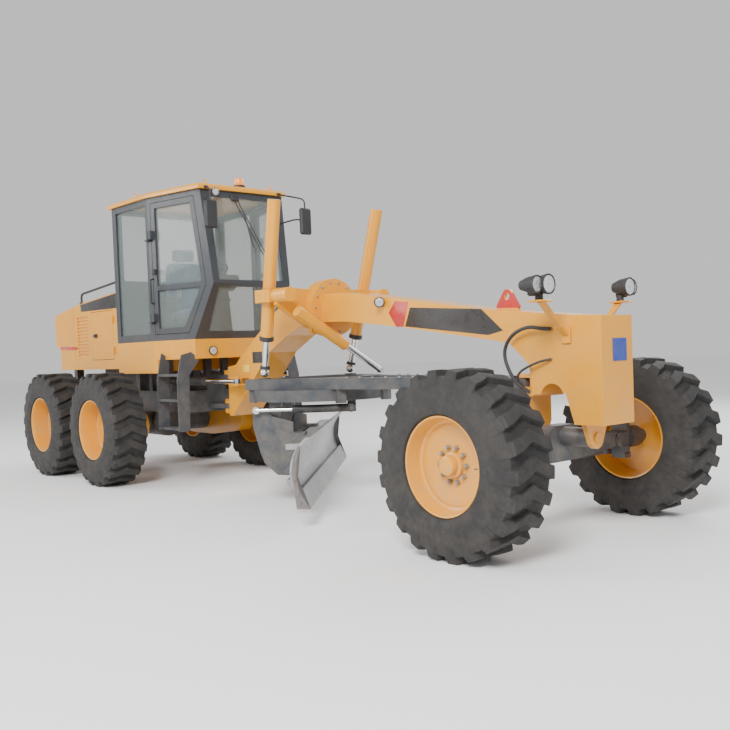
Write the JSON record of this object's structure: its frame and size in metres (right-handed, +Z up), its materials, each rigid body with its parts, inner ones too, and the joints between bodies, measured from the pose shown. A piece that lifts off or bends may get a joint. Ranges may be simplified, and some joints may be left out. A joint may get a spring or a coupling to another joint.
{
  "type": "motor grader",
  "caption": "Articulated six-wheel motor grader with a rear engine, an open-sided glazed cab, a goose-neck beam and a long curved blade hung on a turning circle below it.",
  "frame": {"origin": "middle of the bounding box on the ground plane", "axes": "+X forward, +Y to the machine's left, +Z up"},
  "size_m": [8.9103, 2.612, 3.43],
  "materials": {
    "machine_yellow": "semi-gloss paint",
    "frame_grey": "satin paint",
    "cab_black": "satin paint",
    "engine_grey": "cast, painted",
    "trim_black": "moulded",
    "seat_plastic": "moulded and upholstered",
    "window_glass": "tinted, clear",
    "tyre_rubber": "rubber",
    "blade_steel": "worn bright",
    "cylinder_black": "satin paint",
    "rod_chrome": "polished"
  },
  "bodies": {
    "rear": {"rear_frame": "frame_grey", "engine_block": "engine_grey", "hood": "machine_yellow", "tail_hood": "machine_yellow", "cab_floor": "machine_yellow", "cab_frame": "cab_black", "cab_roof": "machine_yellow", "cab_glass": "window_glass", "operator_station": "seat_plastic", "ladders": "frame_grey", "roof_fittings": "trim_black"},
    "front": {"front_frame": "machine_yellow", "saddle": "machine_yellow", "headlamps": "trim_black"},
    "axle": {"front_axle": "frame_grey"},
    "tie_head": {"tie_rod_head": "frame_grey"},
    "tie_rod": {"tie_rod": "frame_grey"},
    "swivel": {"swivel": "frame_grey"},
    "drawbar": {"drawbar": "frame_grey"},
    "circle": {"circle": "frame_grey"},
    "tilt_bracket": {"tilt_bracket": "frame_grey"},
    "moldboard": {"moldboard": "blade_steel"},
    "tilt_barrel": {"tilt_barrel": "cylinder_black"},
    "tilt_rod": {"tilt_rod": "rod_chrome"},
    "shift_barrel": {"shift_barrel": "machine_yellow"},
    "shift_rod": {"shift_rod": "rod_chrome"},
    "cab_door_right": {"cab_door_right": "cab_black", "door_glass_right": "window_glass"},
    "engine_door_right": {"engine_door_right": "machine_yellow"},
    "tandem_right": {"tandem_case_right": "machine_yellow"},
    "wheel_front_right": {"tyre_front_right": "tyre_rubber", "rim_front_right": "machine_yellow"},
    "wheel_middle_right": {"tyre_middle_right": "tyre_rubber", "rim_middle_right": "machine_yellow"},
    "wheel_rear_right": {"tyre_rear_right": "tyre_rubber", "rim_rear_right": "machine_yellow"},
    "yoke_right": {"lean_yoke_right": "frame_grey"},
    "knuckle_right": {"knuckle_right": "frame_grey"},
    "gimbal_right": {"lift_gimbal_right": "machine_yellow"},
    "lift_barrel_right": {"lift_barrel_right": "machine_yellow"},
    "lift_rod_right": {"lift_rod_right": "rod_chrome"},
    "steer_barrel_right": {"steer_barrel_right": "cylinder_black"},
    "steer_rod_right": {"steer_rod_right": "rod_chrome"},
    "cab_door_left": {"cab_door_left": "cab_black", "door_glass_left": "window_glass"},
    "engine_door_left": {"engine_door_left": "machine_yellow"},
    "tandem_left": {"tandem_case_left": "machine_yellow"},
    "wheel_front_left": {"tyre_front_left": "tyre_rubber", "rim_front_left": "machine_yellow"},
    "wheel_middle_left": {"tyre_middle_left": "tyre_rubber", "rim_middle_left": "machine_yellow"},
    "wheel_rear_left": {"tyre_rear_left": "tyre_rubber", "rim_rear_left": "machine_yellow"},
    "yoke_left": {"lean_yoke_left": "frame_grey"},
    "knuckle_left": {"knuckle_left": "frame_grey"},
    "gimbal_left": {"lift_gimbal_left": "machine_yellow"},
    "lift_barrel_left": {"lift_barrel_left": "machine_yellow"},
    "lift_rod_left": {"lift_rod_left": "rod_chrome"},
    "steer_barrel_left": {"steer_barrel_left": "cylinder_black"},
    "steer_rod_left": {"steer_rod_left": "rod_chrome"}
  },
  "joints": [
    {"name": "articulation", "type": "hinge", "parent": "rear", "child": "front", "pos_m": [-0.758, 0, 1.035], "axis": [0, 0, 1], "range_deg": [-27, 27]},
    {"name": "tandem_rock_right", "type": "hinge", "parent": "rear", "child": "tandem_right", "pos_m": [-2.558, -0.735, 0.65], "axis": [0, 1, 0], "range_deg": [-15, 15]},
    {"name": "spin_middle_right", "type": "hinge", "parent": "tandem_right", "child": "wheel_middle_right", "pos_m": [-1.7905, -1.0835, 0.65], "axis": [0, 1, 0], "continuous": true},
    {"name": "spin_rear_right", "type": "hinge", "parent": "tandem_right", "child": "wheel_rear_right", "pos_m": [-3.3255, -1.0835, 0.65], "axis": [0, 1, 0], "continuous": true},
    {"name": "tandem_rock_left", "type": "hinge", "parent": "rear", "child": "tandem_left", "pos_m": [-2.558, 0.735, 0.65], "axis": [0, 1, 0], "range_deg": [-15, 15]},
    {"name": "spin_middle_left", "type": "hinge", "parent": "tandem_left", "child": "wheel_middle_left", "pos_m": [-1.7905, 1.0835, 0.65], "axis": [0, 1, 0], "continuous": true},
    {"name": "spin_rear_left", "type": "hinge", "parent": "tandem_left", "child": "wheel_rear_left", "pos_m": [-3.3255, 1.0835, 0.65], "axis": [0, 1, 0], "continuous": true},
    {"name": "axle_rock", "type": "hinge", "parent": "front", "child": "axle", "pos_m": [3.8, 0, 0.743], "axis": [-1, 0, 0], "range_deg": [-15, 15]},
    {"name": "lean_right", "type": "hinge", "parent": "axle", "child": "yoke_right", "pos_m": [3.8, -0.72, 0.65], "axis": [1, 0, 0], "range_deg": [-17, 17]},
    {"name": "lean_left", "type": "hinge", "parent": "axle", "child": "yoke_left", "pos_m": [3.8, 0.72, 0.65], "axis": [1, 0, 0], "range_deg": [-17, 17]},
    {"name": "steer_right", "type": "hinge", "parent": "yoke_right", "child": "knuckle_right", "pos_m": [3.8, -0.86, 0.65], "axis": [0, 0, 1], "range_deg": [-50, 50]},
    {"name": "steer_left", "type": "hinge", "parent": "yoke_left", "child": "knuckle_left", "pos_m": [3.8, 0.86, 0.65], "axis": [0, 0, 1], "range_deg": [-50, 50]},
    {"name": "spin_front_right", "type": "hinge", "parent": "knuckle_right", "child": "wheel_front_right", "pos_m": [3.8, -1.0835, 0.65], "axis": [0, 1, 0], "continuous": true},
    {"name": "spin_front_left", "type": "hinge", "parent": "knuckle_left", "child": "wheel_front_left", "pos_m": [3.8, 1.0835, 0.65], "axis": [0, 1, 0], "continuous": true},
    {"name": "tie_head_turn", "type": "hinge", "parent": "knuckle_right", "child": "tie_head", "pos_m": [3.625, -0.86, 0.524], "axis": [0, 0, 1], "range_deg": [-50, 50]},
    {"name": "tie_rod_pivot", "type": "hinge", "parent": "tie_head", "child": "tie_rod", "pos_m": [3.625, -0.808, 0.524], "axis": [1, 0, 0], "range_deg": [-15, 15]},
    {"name": "drawbar_swing", "type": "hinge", "parent": "front", "child": "swivel", "pos_m": [3.48, 0, 1.13], "axis": [0, 0, 1], "range_deg": [-9, 9]},
    {"name": "drawbar_lift", "type": "hinge", "parent": "swivel", "child": "drawbar", "pos_m": [3.48, 0, 1.13], "axis": [0, 1, 0], "range_deg": [-14.5, 6]},
    {"name": "circle_turn", "type": "hinge", "parent": "drawbar", "child": "circle", "pos_m": [0.91, 0, 1.04], "axis": [0, 0, 1], "continuous": true},
    {"name": "blade_tilt", "type": "hinge", "parent": "circle", "child": "tilt_bracket", "pos_m": [0.56087, -0.35652, 0.478], "axis": [-0.7145, 0.6997, 0], "range_deg": [-10, 22]},
    {"name": "blade_shift", "type": "slide", "parent": "tilt_bracket", "child": "moldboard", "axis": [-0.7145, 0.6997, 0], "range_m": [-0.5, 0.5]},
    {"name": "tilt_barrel_pivot", "type": "hinge", "parent": "circle", "child": "tilt_barrel", "pos_m": [1.54099, -0.15604, 0.915], "axis": [-0.7145, 0.6997, 0], "range_deg": [-5, 5]},
    {"name": "tilt_rod_slide", "type": "slide", "parent": "tilt_barrel", "child": "tilt_rod", "axis": [-0.6997, -0.7145, 0], "range_m": [-0.2, 0.2]},
    {"name": "gimbal_swing_right", "type": "hinge", "parent": "front", "child": "gimbal_right", "pos_m": [0.885, -0.59, 1.997], "axis": [1, 0, 0], "range_deg": [-34, 34]},
    {"name": "lift_pitch_right", "type": "hinge", "parent": "gimbal_right", "child": "lift_barrel_right", "pos_m": [0.885, -0.59, 1.997], "axis": [0, 1, 0], "range_deg": [-9, 4]},
    {"name": "lift_stroke_right", "type": "slide", "parent": "lift_barrel_right", "child": "lift_rod_right", "axis": [-0.2437, 0.0553, -0.9683], "range_m": [-0.3, 0.7]},
    {"name": "gimbal_swing_left", "type": "hinge", "parent": "front", "child": "gimbal_left", "pos_m": [0.885, 0.59, 1.997], "axis": [1, 0, 0], "range_deg": [-34, 34]},
    {"name": "lift_pitch_left", "type": "hinge", "parent": "gimbal_left", "child": "lift_barrel_left", "pos_m": [0.885, 0.59, 1.997], "axis": [0, 1, 0], "range_deg": [-9, 4]},
    {"name": "lift_stroke_left", "type": "slide", "parent": "lift_barrel_left", "child": "lift_rod_left", "axis": [-0.2437, -0.0553, -0.9683], "range_m": [-0.3, 0.7]},
    {"name": "shift_pivot", "type": "hinge", "parent": "front", "child": "shift_barrel", "pos_m": [1.262, -0.25, 1.671], "axis": [1, 0, 0], "range_deg": [-38, 16]},
    {"name": "shift_stroke", "type": "slide", "parent": "shift_barrel", "child": "shift_rod", "axis": [0, 0.8615, -0.5077], "range_m": [-0.1, 0.2]},
    {"name": "steer_pivot_right", "type": "hinge", "parent": "rear", "child": "steer_barrel_right", "pos_m": [-1.43, -0.4, 1.165], "axis": [0, 0, 1], "range_deg": [-12, 12]},
    {"name": "steer_stroke_right", "type": "slide", "parent": "steer_barrel_right", "child": "steer_rod_right", "axis": [0.9956, 0.0937, 0], "range_m": [-0.17, 0.17]},
    {"name": "steer_pivot_left", "type": "hinge", "parent": "rear", "child": "steer_barrel_left", "pos_m": [-1.43, 0.4, 1.165], "axis": [0, 0, 1], "range_deg": [-12, 12]},
    {"name": "steer_stroke_left", "type": "slide", "parent": "steer_barrel_left", "child": "steer_rod_left", "axis": [0.9956, -0.0937, 0], "range_m": [-0.17, 0.17]},
    {"name": "cab_door_right_swing", "type": "hinge", "parent": "rear", "child": "cab_door_right", "pos_m": [-1.208, -0.757, 2.4], "axis": [0, 0, -1], "range_deg": [0, 75]},
    {"name": "engine_door_right_swing", "type": "hinge", "parent": "rear", "child": "engine_door_right", "pos_m": [-2.569, -0.597, 1.765], "axis": [0, 0, 1], "range_deg": [0, 80]},
    {"name": "cab_door_left_swing", "type": "hinge", "parent": "rear", "child": "cab_door_left", "pos_m": [-1.208, 0.757, 2.4], "axis": [0, 0, 1], "range_deg": [0, 75]},
    {"name": "engine_door_left_swing", "type": "hinge", "parent": "rear", "child": "engine_door_left", "pos_m": [-2.569, 0.597, 1.765], "axis": [0, 0, -1], "range_deg": [0, 80]}
  ],
  "couplings": [
    {"joint": "lean_left", "follows": "lean_right", "ratio": 1},
    {"joint": "steer_left", "follows": "steer_right", "ratio": 1},
    {"joint": "tie_head_turn", "follows": "steer_right", "ratio": -1},
    {"joint": "tie_rod_pivot", "follows": "lean_right", "ratio": -0.865},
    {"joint": "tilt_barrel_pivot", "follows": "blade_tilt", "ratio": 0.035},
    {"joint": "tilt_rod_slide", "follows": "blade_tilt", "m_per_rad": -0.4325},
    {"joint": "gimbal_swing_right", "follows": "drawbar_swing", "ratio": -3.7},
    {"joint": "lift_pitch_right", "follows": "drawbar_lift", "ratio": 0.59},
    {"joint": "lift_stroke_right", "follows": "drawbar_lift", "m_per_rad": -2.725},
    {"joint": "gimbal_swing_left", "follows": "drawbar_swing", "ratio": -3.7},
    {"joint": "lift_pitch_left", "follows": "drawbar_lift", "ratio": 0.59},
    {"joint": "lift_stroke_left", "follows": "drawbar_lift", "m_per_rad": -2.725},
    {"joint": "shift_pivot", "follows": "drawbar_lift", "ratio": 2.55},
    {"joint": "shift_stroke", "follows": "drawbar_lift", "m_per_rad": -0.76},
    {"joint": "steer_pivot_right", "follows": "articulation", "ratio": 0.415},
    {"joint": "steer_stroke_right", "follows": "articulation", "m_per_rad": 0.33},
    {"joint": "steer_pivot_left", "follows": "articulation", "ratio": 0.415},
    {"joint": "steer_stroke_left", "follows": "articulation", "m_per_rad": -0.33}
  ]
}
